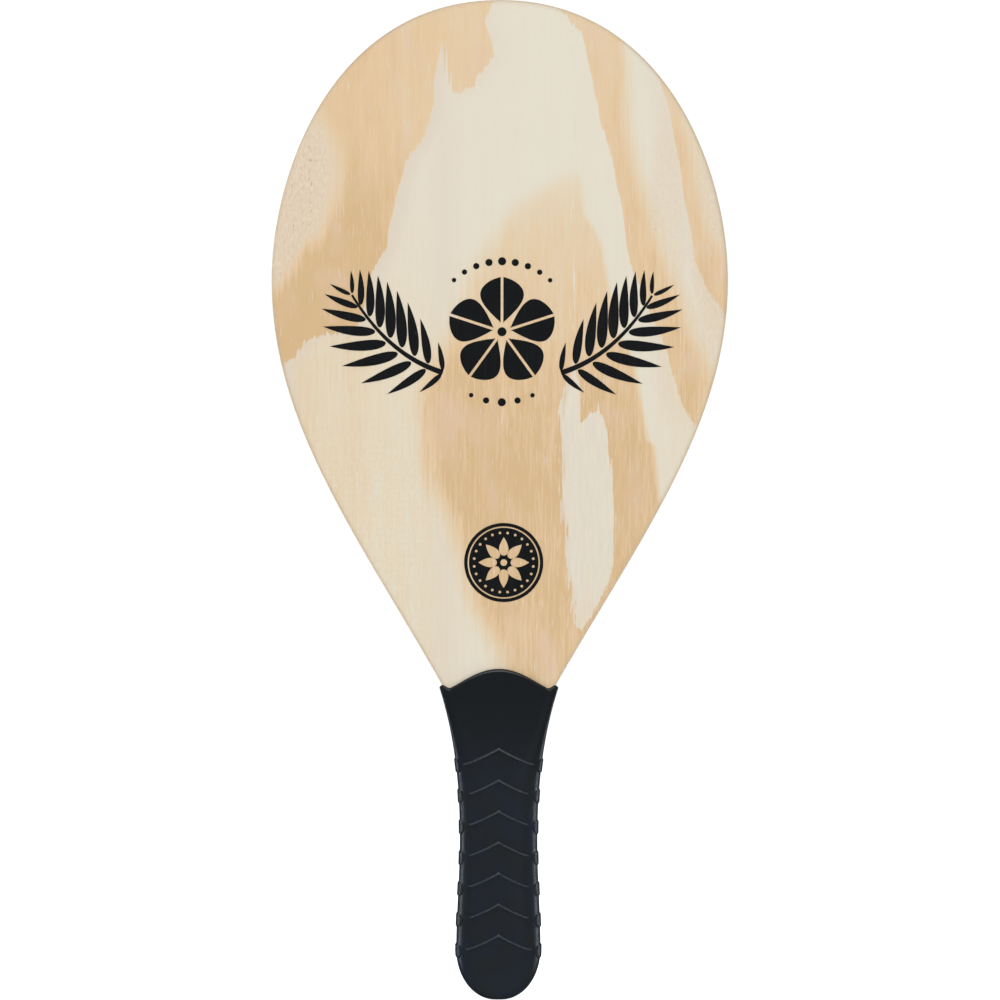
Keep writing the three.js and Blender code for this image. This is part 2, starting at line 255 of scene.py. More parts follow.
def bakeNodes(piece, tree, values):
    # run a geometry tree on a piece and keep the result as its plain mesh
    modifier = piece.modifiers.new(tree.name, "NODES")
    modifier.node_group = tree
    for item in tree.interface.items_tree:
        if item.in_out == "INPUT" and item.name in values:
            modifier[item.identifier] = values[item.name]
    scene.view_layers[0].update()
    shape = piece.evaluated_get(bpy.context.evaluated_depsgraph_get())
    mesh = bpy.data.meshes.new_from_object(shape)
    piece.modifiers.clear()
    piece.data = mesh
    return piece


# The racket's outline. Heights count from the waist of the grip.
coreLow, coreHigh = nodeSpan("core_ply")
sleeveLow = nodeSpan("grip_sleeve")[0]
faceDepth = nodeSpan("rear_face_ply")[1].y

blade = {
    "half": coreHigh.x, "top": coreHigh.z, "tangEnd": coreLow.z, "widest": 246.7,
    "crownShoulder": 48, "crownFlat": 73, "flankShoulder": 63, "flankRun": 66, "flankSlope": 0.57,
    "rounding": 1.3, "brokenEdge": 0.2, "tangRoundness": 2.6,
    "tangEndSteps": 16, "tangSteps": 26, "neckSteps": 14, "flankSteps": 120, "crownSteps": 150,
    "roundSteps": 7, "columns": 44,
}
grip = {
    "butt": sleeveLow.z, "dome": 22, "shoulder": 22, "mouth": 68.7, "neckDrop": 18,
    "waistHalf": 17.1, "palmHalf": 18.6, "mouthHalf": 26.65, "mouthSlope": 0.33, "buttFlat": 0.08,
    "waistDepth": 13.4, "palmDepth": 14.6, "roundness": 2.6, "mouthRoundness": 7,
    "wall": 2.2, "lipWall": 1.3, "fit": 0.3,
}
palmHeight = grip["butt"] + grip["dome"]
neckHeight = grip["mouth"] - grip["neckDrop"]


def hermite(z, lowZ, lowX, lowSlope, highZ, highX, highSlope):
    run = highZ - lowZ
    t = (z - lowZ) / run
    early, late = (1 - t) ** 2, t ** 2
    return (lowX * early * (1 + 2 * t) + highX * late * (3 - 2 * t)
            + lowSlope * run * t * early - highSlope * run * late * (1 - t))


def thinning(z):
    return smoothShare(z, grip["shoulder"], grip["mouth"])


def gripHalf(z, palm, waist, aboveWaist):
    # half the grip across or through: the dome of the butt, the palm, and what is above the waist
    t = np.clip((palmHeight - z) / grip["dome"], 0, 1)
    dome = grip["buttFlat"] + (1 - grip["buttFlat"]) * np.sqrt(1 - t * t)
    swell = lerp(palm, waist, smoothShare(z, palmHeight, 0))
    return np.select([z < palmHeight, z < 0], [palm * dome, swell], aboveWaist)


def gripHalfWidth(z):
    z = np.asarray(z, float)
    mouth, half, slope = grip["mouth"], grip["mouthHalf"], grip["mouthSlope"]
    flare = hermite(z, 0, grip["waistHalf"], 0, mouth, half, slope)
    flare = np.where(z > mouth, half + slope * (z - mouth), flare)
    return gripHalf(z, grip["palmHalf"], grip["waistHalf"], flare)


def gripHalfDepth(z):
    z = np.asarray(z, float)
    flat = lerp(grip["waistDepth"], faceDepth + grip["fit"] + grip["lipWall"], thinning(z))
    return gripHalf(z, grip["palmDepth"], grip["waistDepth"], flat)


def tangHalf(z):
    return gripHalfWidth(z) - grip["wall"] - grip["fit"]


def pairs(x, z):
    return np.stack([x, z], 1)


def bezier(corners, count):
    # evenly spaced points on a cubic curve, without its last point
    share = np.linspace(0, 1, 600)[:, None]
    a, b, c, d = [np.array(corner, float) for corner in corners]
    rest = 1 - share
    fine = a * rest ** 3 + 3 * b * share * rest ** 2 + 3 * c * share ** 2 * rest + d * share ** 3
    run = np.concatenate([[0], np.cumsum(np.linalg.norm(np.diff(fine, axis=0), axis=1))])
    wanted = np.linspace(0, run[-1], count + 1)[:-1]
    return pairs(np.interp(wanted, run, fine[:, 0]), np.interp(wanted, run, fine[:, 1]))


def halfOutline():
    # right half of the plywood from the end of the tang to the crown, as rows of (x, z)
    half, top, widest, mouth = blade["half"], blade["top"], blade["widest"], grip["mouth"]
    slope, run = blade["flankSlope"], blade["flankRun"]
    turn = np.linspace(0, math.pi / 2, blade["tangEndSteps"], endpoint=False)
    power = 2 / blade["tangRoundness"]
    endZ = lerp(palmHeight, blade["tangEnd"], np.cos(turn) ** power)
    end = pairs(tangHalf(palmHeight) * np.sin(turn) ** power, endZ)
    tangZ = np.linspace(palmHeight, neckHeight, blade["tangSteps"], endpoint=False)
    tang = pairs(tangHalf(tangZ), tangZ)
    mouthHalf = grip["mouthHalf"] - grip["lipWall"] - grip["fit"]
    probe = 0.05
    neckSlope = (tangHalf(neckHeight) - tangHalf(neckHeight - probe)) / probe
    neckZ = np.linspace(neckHeight, mouth, blade["neckSteps"], endpoint=False)
    neckX = hermite(neckZ, neckHeight, tangHalf(neckHeight), neckSlope, mouth, mouthHalf, slope)
    neck = pairs(neckX, neckZ)
    flank = bezier([(mouthHalf, mouth), (mouthHalf + slope * run, mouth + run),
                    (half, widest - blade["flankShoulder"]), (half, widest)], blade["flankSteps"])
    crown = bezier([(half, widest), (half, widest + blade["crownShoulder"]),
                    (blade["crownFlat"], top), (0, top)], blade["crownSteps"])
    return np.concatenate([end, tang, neck, flank, crown, [(0, top)]])


outline = halfOutline()
padded = np.concatenate([[outline[1] * (-1, 1)], outline, [outline[-2] * (-1, 1)]])
outlineAlong = padded[2:] - padded[:-2]
outlineAlong /= np.linalg.norm(outlineAlong, axis=1)[:, None]
rounded = smoothShare(outline[:, 1], neckHeight, grip["mouth"])
edgeRadius = lerp(blade["brokenEdge"], blade["rounding"], rounded)


def insetRing(inset, depth):
    # the outline moved inwards, at one depth for each of its points
    x = outline[:, 0] - outlineAlong[:, 1] * inset
    z = outline[:, 1] + outlineAlong[:, 0] * inset
    x[0] = x[-1] = 0
    half = np.stack([x, np.broadcast_to(depth, x.shape), z], 1)
    return np.concatenate([half, half[-2:0:-1] * (-1, 1, 1)])


def ringFaces(level, count):
    # quads between one ring of points and the next
    low, high = level * count, (level + 1) * count
    return [(low + k, low + (k + 1) % count, high + (k + 1) % count, high + k) for k in range(count)]


def plySolid(name, rings, columns, numbers):
    # a solid through rings of as many points, closed by rows of quads from side to side. The last
    # ring is the one that shows, and its face has columns quads in each row.
    count = len(rings[0])
    half = count // 2
    points = [point for ring in rings for point in ring]
    faces = [face for level in range(len(rings) - 1) for face in ringFaces(level, count)]
    last = (len(rings) - 1) * count
    values = {key: [value for row in rows for value in np.broadcast_to(row, count)]
              for key, rows in numbers.items()}
    for start, parts in ((0, 1), (last, columns)):
        rows = []
        for i in range(1, half):
            right, left = np.array(points[start + i]), np.array(points[start + count - i])
            first = len(points)
            inner = [right + (left - right) * k / parts for k in range(1, parts)]
            points += inner
            for key in values:
                values[key] += [0] * len(inner)
            rows.append([start + i, *range(first, first + len(inner)), start + count - i])
        for low, high in zip(rows, rows[1:]):
            faces += [(low[k], low[k + 1], high[k + 1], high[k]) for k in range(parts)]
        faces += [(start, rows[0][k], rows[0][k + 1]) for k in range(parts)]
        faces += [(start + half, rows[-1][k + 1], rows[-1][k]) for k in range(parts)]
    return makePiece(name, points, faces, values, crease=38)


plies = {
    "glueChamfer": 0.08,  # the joints between the veneers show as fine grooves
    "crossRecess": 0.04,  # the cross veneers are sanded a little lower at their edges
    "darkRimReach": 1.5,  # how far the darker rim, partly sanded wood and partly painted shade, runs on from the rounding
}


def innerPly(node):
    low, high = nodeSpan(node)
    chamfer = plies["glueChamfer"]
    recess = plies["crossRecess"] if "cross" in node else 0
    rings = [insetRing(recess + chamfer, low.y), insetRing(recess, low.y + chamfer),
             insetRing(recess, high.y - chamfer), insetRing(recess + chamfer, high.y)]
    piece = plySolid(node.replace("_ply", "_veneer"), rings, 1, {"glue": [1, 0, 0, 1]})
    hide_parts(node)
    return piece


def facePly(node):
    glued, face = sorted([corner.y for corner in nodeSpan(node)], key=abs)
    side = np.sign(face)
    chamfer = plies["glueChamfer"]
    rings = [insetRing(chamfer, glued), insetRing(0, glued + side * chamfer)]
    # the rim values mark the rounding, where the colour is darkened as sanded wood and as painted shade
    rim = [1, 1]
    for turn in np.linspace(0, math.pi / 2, blade["roundSteps"] + 1):
        depth = face - side * edgeRadius * (1 - math.sin(turn))
        rings.append(insetRing(edgeRadius * (1 - math.cos(turn)), depth))
        rim.append(0.3 + 0.7 * math.cos(turn))
    rings.append(insetRing(edgeRadius + plies["darkRimReach"], face))
    rim.append(0)
    glue = [1] + [0] * (len(rings) - 1)
    piece = plySolid(node.replace("_ply", "_veneer"), rings, blade["columns"], {"glue": glue, "rim": rim})
    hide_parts(node)
    return piece


frontFace = facePly("front_face_ply")
frontCross = innerPly("front_cross_ply")
core = innerPly("core_ply")
rearCross = innerPly("rear_cross_ply")
rearFace = facePly("rear_face_ply")
print("plywood made")


# Growth rings of rotary-cut pine. A band of summer wood darkens softly from one side and ends in a
# sharp toothed line on the other. Lines are (height, distance from the middle) in millimetres.
# Side 1 has the sharp line on the left of the band, and side -1 on its right.
sheetHigh, sheetWide = (60, 372), (-112, 112)  # what the lines are drawn within
usualBand = {
    "edge": 0.35,  # half the width of the sharp line
    "margin": 0.5,  # how much the pale wood beside it is cooled
}
frontFigure = {
    "bands": [{  # the broad band down the left
        "side": -1, "softness": 9, "margin": 1,
        "tone": [(205, 1.25), (238, 1.2), (260, 1.08), (285, 1), (315, 0.82), (345, 0.84), (370, 0.75)],
        "sharp": [(210, -95), (214, -89), (219, -86), (221, -82), (222.5, -76), (224, -64),
                  (229.5, -61.5), (235.5, -59.5), (242, -58), (248.5, -56.5), (257, -52.5),
                  (261.5, -49.5), (268.5, -49), (278, -46.5), (286, -45), (294, -42.5), (300, -41),
                  (305, -36.5), (309.5, -33.5), (316.5, -31.5), (324, -29), (335, -29), (342, -27.5),
                  (349, -26), (352.5, -25), (370, -24)],
        "soft": [(236, -102), (244, -97), (258, -88), (268, -80.5), (286, -73), (300, -73), (315, -79),
                 (330, -92), (342, -104)],
    }, {  # the tongue that hangs beside it at the crown
        "side": -1, "softness": 0.5,
        "tone": [(326, 0.85), (350, 0.8), (370, 0.75)],
        "sharp": [(326, -26), (327.5, -17.5), (330.5, -15.5), (331.5, -11.5), (335.5, -10.5), (340, -7),
                  (345.5, -2.5), (351.5, -3.5), (359.5, -7), (368, -4), (370, -3)],
        "soft": [(326, -10), (327.5, -17.5), (330, -20), (337, -22), (345.5, -23.5), (349.5, -24.5),
                 (352.5, -26), (355, -45), (370, -50)],
    }, {  # the long band down the right
        "side": 1, "softness": 6, "margin": 0.1,
        "tone": [(180, 0.95), (250, 0.95), (300, 0.92), (360, 0.85)],
        "sharp": [(180, 88), (186, 83.5), (191.5, 80.5), (198, 78.5), (204, 76.5), (212.5, 74.5),
                  (219.5, 72), (229.5, 67.5), (238.5, 64), (244, 62), (251, 58.5), (260.5, 56),
                  (269.5, 55), (281, 53.5), (290.5, 51), (300, 49.5), (308.5, 47), (316.5, 44), (324, 43),
                  (328.5, 41.5), (336.5, 40.5), (344, 38.5), (351, 37), (356.5, 35.5), (358.5, 32.5),
                  (363.5, 29), (367, 25), (370, 20)],
        "soft": [(200, 97), (214, 90), (226, 84), (245, 78), (261, 71), (272, 68), (286, 63.5),
                 (300, 59.5), (313, 57), (327, 56), (342, 55), (352, 53), (362, 60)],
    }, {  # the outer band on the right
        "side": 1, "softness": 6,
        "tone": [(229, 0.95), (290, 0.9), (330, 0.8)],
        "sharp": [(229, 100), (233.5, 97.5), (238, 95), (242.5, 91.5), (250, 88), (256, 85.5),
                  (262.5, 85), (274, 83), (286, 80.5), (295.5, 79.5), (307, 77), (315, 75.5), (325, 73.5),
                  (333.5, 70.5), (345, 66)],
        "soft": [(229, 114), (245, 107), (255, 101), (268, 92.5), (282, 89.5), (300, 86.5), (319, 82.5),
                 (335, 80), (345, 80)],
    }, {  # the flame in the middle, which runs down to the grip
        "side": -1, "softness": 9, "edge": 1.8, "margin": 0,
        "tone": [(68, 0.9), (100, 1.04), (180, 1.12), (205, 1), (225, 0.84), (244, 0.78), (262, 0.73),
                 (275, 0.64), (286, 0.45), (293, 0.24), (299, 0)],
        "sharp": [(60, 70), (140, 74), (152, 70), (165, 69), (174.4, 68), (176.4, 65.4), (195, 62),
                  (212, 59), (223, 52), (226.5, 51.5), (246, 47.5), (262, 44.5), (269, 42), (273, 38.5),
                  (277, 37), (290, 36), (296, 33.5), (300, 31)],
        "soft": [(68, 4), (86, -2), (103, -11), (120, -16), (138, -21), (150, -26), (158, -30),
                 (172, -32), (195, -34), (206, -31), (225, -22), (244, -13), (255, -8), (262, -3),
                 (268, 0), (276, 6), (284, 14), (290, 23), (295, 30), (300, 36)],
    }],
    "cut": {  # pale wood that shows through the flame
        "left": [(93, 38), (95, 33.5), (102.5, 32.5), (112.5, 32), (119.5, 29.5), (127, 29),
                 (135.5, 29.5), (143, 27.8), (146.5, 27.5), (153.5, 27), (160, 27), (181, 27.3),
                 (190, 26.7), (195, 28.3), (203, 30.3), (209, 33)],
        "right": [(93, 36), (95, 38), (107, 45), (117.5, 49.5), (127, 50.5), (143, 51), (153.5, 50),
                  (164.5, 49), (170.5, 48), (179.5, 47.2), (183.2, 46.6), (183.8, 35.4), (196, 35.4),
                  (204, 34.2), (209, 32.5)],
        # the top of its right lobe, as (distance from the middle, height)
        "lobe": [(30, 184), (36.5, 184), (39.6, 188.3), (42.9, 188.8), (43.5, 193), (44.1, 189.4),
                 (45.8, 186), (47.4, 181), (48.2, 170)],
        "lobeLow": 174,  # where the lobe sets in
        "end": 215,  # the wood beside the cut is cooled up to here
    },
    "warm": [(-100, 0.6), (-70, 0.52), (-40, 0.32), (0, 0.16), (60, 0.12), (100, 0.26)],
    # rosy mottled patches as (distance from the middle, height, reach across, reach along, share)
    "blush": [(-92, 285, 20, 75, 0.9), (73, 262, 9, 70, 0.4), (94, 275, 11, 70, 0.6),
              (82, 212, 16, 34, 0.35)],
    # rows of open pores as (distance from the middle, lowest, highest)
    "pores": [(-83.3, 262, 308), (-91, 254, 294), (-87.5, 276, 304), (68.6, 264, 288)],
    "kept": 0.5,  # how much of the pale face the sanding left on the rim's upper left
    "ripple": 1.0,
    "seed": 0,
}
rearFigure = {
    "bands": [{  # an arch with its sharp line outside, left leg
        "side": 1, "softness": 10,
        "tone": [(62, 0.95), (170, 1.05), (240, 0.98), (290, 0.84), (319, 0.66), (325, 0)],
        "sharp": [(62, -12), (88, -17), (104, -24), (130, -29), (152, -38), (172, -39), (200, -46),
                  (226, -45), (236, -47), (254, -39), (266, -37), (278, -28), (292, -23), (304, -11),
                  (313, -5), (323, 10)],
        "soft": [(62, 10), (130, -2), (200, -12), (250, -15), (290, -4), (323, 20)],
    }, {  # its right leg
        "side": -1, "softness": 9,
        "tone": [(62, 0.85), (150, 1), (230, 0.9), (290, 0.78), (320, 0.62), (326, 0)],
        "sharp": [(62, 24), (84, 30), (112, 36), (131, 46), (158, 51), (183, 62), (207, 63), (226, 67),
                  (243, 62), (259, 61), (274, 52), (288, 48), (300, 37), (309, 32), (318, 20), (324, 12)],
        "soft": [(62, 14), (140, 24), (210, 38), (255, 37), (295, 24), (324, 4)],
    }, {  # a second arch that runs off the sheet on its left
        "side": 1, "softness": 7,
        "tone": [(124, 0.9), (250, 0.95), (330, 0.84), (361, 0.72), (369, 0)],
        "sharp": [(124, -99), (146, -92), (170, -93), (186, -87), (207, -86), (232, -88), (248, -79),
                  (268, -77), (286, -65), (306, -62), (320, -49), (337, -44), (348, -28), (360, -17),
                  (367, -2)],
        "soft": [(124, -74), (181, -68), (229, -72), (268, -64), (303, -49), (336, -30), (367, 8)],
    }, {  # the next ring on the right, up to the crown
        "side": -1, "softness": 6,
        "tone": [(84, 0.85), (200, 0.95), (290, 0.84), (370, 0.8)],
        "sharp": [(84, 68), (104, 82), (126, 86), (148, 97), (176, 96), (199, 101), (221, 95), (244, 93),
                  (262, 86), (283, 83), (304, 72), (323, 69), (341, 57), (356, 54), (370, 45)],
        "soft": [(84, 60), (148, 80), (215, 80), (262, 72), (304, 57), (345, 40), (370, 31)],
    }],
    "warm": [(-100, 0.2), (-60, 0.15), (0, 0.3), (60, 0.35), (100, 0.3)],
    "blush": [(8, 205, 20, 90, 0.5), (-74, 300, 14, 50, 0.6), (84, 320, 14, 40, 0.6)],
    "pores": [(6, 150, 196), (-52, 205, 240), (49, 205, 262)],
    "kept": 0.2,
    "ripple": 0.5,
    "seed": 40,
}
pine = {
    "cream": tint(217, 211, 195), "warmCream": tint(217, 203, 177), "tan": tint(217, 189, 151),
    "deepTan": tint(207, 175, 131), "rose": tint(217, 193, 172), "pale": tint(212, 200, 184),
    "blush": tint(215, 196, 172), "fleck": tint(158, 128, 94), "rim": tint(190, 168, 139),
    "glue": tint(128, 96, 64),
    "teeth": 4, "broadTeeth": 2, "ragged": 6, "bristles": 6, "marginWidth": 11,  # millimetres
    "stripes": 0.22, "fibre": 0.34, "streaks": 0.3, "drift": 0.3, "mottle": 0.2, "clouds": 0.4,
    "cooling": 0.8, "dashes": 0.6, "speckle": 0.27, "ripple": 0.007, "rimWearAndShade": 0.75, "glueStain": 0.8,
    "roughness": 0.56, "bump": (0.03, 0.55),
    # where on the sheet a trait comes in, and its strength before and after
    "baseRise": (290, 190, 0.45, 1), "livelyRise": (320, 200, 0.55, 1.65), "cutRise": (88, 120, 0.75, 1),
    "rippleAcross": (-10, -50), "rippleAlong": (210, 160), "keptAcross": (-60, -90), "keptAlong": (210, 260),
}
# noises of the sheet: features per millimetre across, through and along it, detail, roughness, and
# how far it is moved across and along
grains = {
    "teeth": ((1.1, 0, 0.045), 2, 0.6, 0, 0),
    "broadTeeth": ((0.3, 0, 0.02), 1, 0.5, 0, 0),
    "ragged": ((0.5, 0, 0.01), 3, 0.65, 0, 0),
    "bristles": ((0.9, 0, 0.07), 2, 0.6, 0, 0),
    "stripes": ((0.085, 0, 0.006), 2, 0.55, 0, 0),
    "fibre": ((1.3, 1, 0.08), 3, 0.7, 0, 0),
    "drift": ((0.16, 0, 0.035), 3, 0.55, 0, 0),
    "streaks": ((0.55, 0, 0.024), 3, 0.65, 0, 0),
    "mottle": ((0.9, 1, 0.4), 2, 0.6, 0, 0),
    "clouds": ((0.06, 0, 0.03), 2, 0.5, 7, 3),
    "dashes": ((1.5, 1, 0.11), 1, 0.4, 12, 4),
    "specks": ((1.9, 1, 0.5), 2, 0.6, 3, 9),
    "patches": ((0.03, 0, 0.012), 1, 0.5, 5, 1),
}


def sharpLine(height, points):
    return height.curve(points, sheetHigh, sheetWide, "VECTOR")


def figureTone(figure, x, z, grain):
    # how far towards summer wood the veneer is, how pale it is next to a sharp line, and the cut
    teeth = grain("teeth").centred(pine["teeth"]) + grain("broadTeeth").centred(pine["broadTeeth"])
    toothed, halfToothed = z + teeth, z + teeth * 0.5
    ragged = x + grain("ragged").centred(pine["ragged"])
    tones, margins = [], []
    for band in figure["bands"]:
        band = {**usualBand, **band}
        side, softness, edge = band["side"], band["softness"], band["edge"]
        past = (x - sharpLine(toothed, band["sharp"])) * side
        left = (z.curve(band["soft"], sheetHigh, sheetWide) - ragged) * side
        tones.append(past.smooth(-edge, edge) * left.smooth(-softness, softness)
                     * z.curve(band["tone"], sheetHigh, (0, 1.5)))
        margins.append(abs(past).smooth(pine["marginWidth"], 0.5, 0, band["margin"]))
    if "cut" not in figure:
        return greatest(tones), greatest(margins), 0.0

    cut = figure["cut"]
    bottom = cut["left"][0][0]
    bristles = grain("bristles").centred(pine["bristles"])
    pastLeft = x - sharpLine(toothed, cut["left"])
    beforeRight = sharpLine(halfToothed, cut["right"]) - x
    underLobe = x.curve(cut["lobe"], (30, 50), (170, 200), "VECTOR") - halfToothed
    right = (beforeRight + bristles * 0.4).atLeast(underLobe.atMost(z - cut["lobeLow"]))
    pale = ((pastLeft + bristles).smooth(-0.3, 0.3) * right.smooth(-0.3, 0.3)
            * z.smooth(bottom - 1, bottom) * z.smooth(*pine["cutRise"]))
    margins.append(abs(pastLeft).smooth(4, 0.5) * z.smooth(cut["end"], cut["end"] - 10))
    return greatest(tones), greatest(margins), pale


def pineFace(name, figure):
    graph, place = shaderGraph(name)
    x, _, z = place.split()

    def grain(kind):
        stretch, detail, roughness, across, along = grains[kind]
        return place.noise(stretch, detail, roughness, (figure["seed"] + across, 0, along))

    tone, margin, cut = figureTone(figure, x, z, grain)

    # base tone of the spring wood, with soft stripes that run with the grain
    lower = z.smooth(*pine["baseRise"])
    stripes = grain("stripes").centred(pine["stripes"])
    base = (x.curve(figure["warm"], sheetWide, (0, 1)) * lower + stripes * lower).atLeast(0) * (1 - cut * 0.6)
    tone = tone * (1 - cut)
    both = base + tone * (1 - base * 0.35)

    # fine fibres, and the broader drift inside the dark bands
    fibre, drift, streaks = grain("fibre"), grain("drift"), grain("streaks")
    lively = (0.42 + both.atMost(0.65) * 0.72 + cut * 0.6) * z.smooth(*pine["livelyRise"])
    fine = fibre.centred(pine["fibre"]) + streaks.centred(pine["streaks"])
    both = both + fine * lively + drift.centred(pine["drift"]) * tone
    ramp = graph.node("ShaderNodeValToRGB", {"Fac": both / 1.25})
    stops = ramp.color_ramp.elements
    stops[0].color, stops[1].color = pine["cream"], pine["deepTan"]
    for position, stop in ((0.34, "warmCream"), (0.76, "tan")):
        stops.new(position).color = pine[stop]
    colour = Value(graph, ramp.outputs[0])

    # rosy clouds in the bands, and a cooler margin on the pale side of each line
    colour = graph.mix(grain("clouds").smooth(0.5, 0.72) * pine["clouds"] * tone, colour, pine["rose"])
    coolness = margin * tone.smooth(0.4, 0.05) * pine["cooling"]
    colour = graph.mix(coolness.atLeast(cut * 0.35), colour, pine["pale"])

    # rosy patches, mottled and flecked more than the rest
    patches = []
    for middle, height, reach, along, share in figure["blush"]:
        aside, above = (x - middle) / reach, (z - height) / along
        patches.append((aside * aside + above * above).smooth(1.3, 0.25, 0, share))
    rosy = greatest(patches) * tone.smooth(0.7, 0.2)
    colour = graph.mix(rosy, colour, pine["blush"])
    lowerLeft = x.smooth(*pine["rippleAcross"]) * z.smooth(*pine["rippleAlong"]) * figure["ripple"]
    mottle = grain("mottle").centred(pine["mottle"]) * (rosy + lowerLeft * 0.45)

    # opened pores show as short light dashes in the summer wood
    dashes = grain("dashes").smooth(0.65, 0.73) * both.atMost(0.8) * pine["dashes"]
    colour = graph.mix(dashes, colour, pine["cream"])

    # small resin flecks, sparse and drawn out along the grain
    row = 0.0
    for middle, low, high in figure["pores"]:
        within = z.smooth(low - 3, low + 3) * z.smooth(high + 3, high - 3)
        row = row + abs(x - middle).smooth(1.3, 0.3) * within
    specks = grain("specks")
    often = 0.15 + grain("patches").smooth(0.42, 0.66) * 0.6 + rosy * 0.2 + row * 0.6
    flecks = (specks + row * 0.12).smooth(0.7, 0.78) * often
    speckle = specks.smooth(0.52, 0.72) * rosy * pine["speckle"]
    colour = graph.mix(flecks.atLeast(speckle), colour, pine["fleck"])

    # the knife left faint ripples across the lower left of the sheet
    ripple = graph.math("SINE", z * 2.1 + drift.centred(5)) * lowerLeft
    shade = 1 + ripple * pine["ripple"] + mottle + fibre.centred(0.15) * cut
    colour = graph.mix(1.0, colour, graph.combine(shade, shade, shade), "MULTIPLY")

    # the rounded edge is darker: partly sanded through to darker wood, more so where it crosses the grain,
    # and partly painted shade where the edge turns from the light
    kept = x.smooth(*pine["keptAcross"]) * z.smooth(*pine["keptAlong"]) * figure["kept"]
    worn = graph.attribute("rim").smooth(0, 1) * (pine["rimWearAndShade"] + abs(graph.normal()[2]) * 0.25 - kept)
    colour = graph.mix(worn, colour, pine["rim"])
    return graph.shade({
        "Base Color": graph.mix(graph.attribute("glue") * pine["glueStain"], colour, pine["glue"]),
        "Roughness": pine["roughness"] + fibre.centred(0.07) - tone * 0.05,
        "IOR": 1.45,
        "Normal": graph.bump(fibre * 0.7 + streaks * 0.4 + ripple * 0.25, *pine["bump"]),
    })


veneer = {
    "long": tint(224, 200, 162), "longDark": tint(205, 174, 131),
    "end": tint(192, 155, 110), "endDark": tint(158, 120, 80),
    "lines": (1.6, 3.5, 0.05),  # features per millimetre across, through and along the grain
    "pores": (3.2, 3.2, 3.2), "roughness": 0.68, "bump": (0.05, 0.6),
}


def pineEdge(name, alongZ, seed):
    # the edge of a veneer shows long grain on two sides and end grain on the other two
    graph, place = shaderGraph(name)
    endShare = abs(graph.normal()[2 if alongZ else 0]).smooth(0.25, 0.8)
    stretch = veneer["lines"] if alongZ else veneer["lines"][::-1]
    lines = place.noise(stretch, 3, 0.6, (seed, 0, seed))
    pores = place.noise(veneer["pores"], 3, 0.7, (seed, 1, 0))
    long = graph.mix(lines.smooth(0.35, 0.7), veneer["long"], veneer["longDark"])
    end = graph.mix(pores.smooth(0.35, 0.7), veneer["end"], veneer["endDark"])
    return graph.shade({
        "Base Color": graph.mix(graph.attribute("glue") * 0.85, graph.mix(endShare, long, end), pine["glue"]),
        "Roughness": veneer["roughness"] + pores.centred(0.12),
        "Normal": graph.bump(graph.mixNumber(endShare, lines, pores), *veneer["bump"]),
    })


def dress(piece, material):
    piece.data.materials.clear()
    piece.data.materials.append(material)
    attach(piece, "root")


dress(frontFace, pineFace("front pine veneer", frontFigure))
dress(rearFace, pineFace("rear pine veneer", rearFigure))
crossPine = pineEdge("cross pine veneer", False, 11)
dress(frontCross, crossPine)
dress(rearCross, crossPine)
dress(core, pineEdge("core pine veneer", True, 23))
print("plywood dressed")


cheekWood = {
    "light": tint(219, 190, 146), "dark": tint(190, 154, 107), "roughness": 0.7, "bump": (0.04, 0.6),
    "rings": ((0.5, 0.9, 0.012), 4, 0.6), "fibre": ((3, 3, 0.09), 2, 0.6),
}


def cheekMaterial():
    graph, place = shaderGraph("handle cheek pine")
    rings, fibre = place.noise(*cheekWood["rings"]), place.noise(*cheekWood["fibre"])
    return graph.shade({
        "Base Color": graph.mix(rings.smooth(0.38, 0.62), cheekWood["light"], cheekWood["dark"]),
        "Roughness": cheekWood["roughness"] + fibre.centred(0.1),
        "Normal": graph.bump(fibre, *cheekWood["bump"]),
    })


cheekPine = cheekMaterial()
for node in ("front_handle_cheek", "rear_handle_cheek"):
    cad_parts[node].material_slots[0].material = cheekPine


# The print. Its outlines are drawn flat in millimetres and stood on the front face afterwards.
ink = {
    "thickness": 0.06, "sink": 0.02, "ragged": 0.09, "creep": 1.3, "step": 0.35,
    "colour": tint(15, 18, 21), "worn": tint(34, 37, 40),
    "fibre": ((1.3, 1, 0.05), 3, 0.7), "pits": ((2.2, 2.2, 1.1), 2, 0.5, (4, 0, 2)),
    "roughness": 0.55, "sheen": 0.25, "bump": (0.02, 0.5),
}


def inkMaterial():
    graph, place = shaderGraph("black print")
    fibre, pits = place.noise(*ink["fibre"]), place.noise(*ink["pits"])
    colour = graph.mix(fibre.smooth(0.5, 0.85), ink["colour"], ink["worn"])
    return graph.shade({
        "Base Color": graph.mix(pits.smooth(0.76, 0.8) * 0.5, colour, pine["tan"]),
        "Roughness": ink["roughness"] + fibre.centred(0.1),
        "Specular IOR Level": ink["sheen"],
        "Normal": graph.bump(fibre, *ink["bump"]),
    })


def raggedEdge(graph, geometry, reach, seed):
    # moves outlines by a small noise, as ink creeps along the grain
    spot = graph.vector("ADD", graph.add("GeometryNodeInputPosition"), graph.combine(seed, seed))
    creep = graph.add("ShaderNodeTexNoise", {"Vector": spot, "Scale": ink["creep"], "Detail": 2.0}, 1)
    centred = graph.vector("SUBTRACT", creep, (0.5, 0.5, 0.5))
    shift = graph.vector("MULTIPLY", centred, graph.combine(reach, reach))
    return graph.add("GeometryNodeSetPosition", {"Geometry": geometry, "Offset": shift})


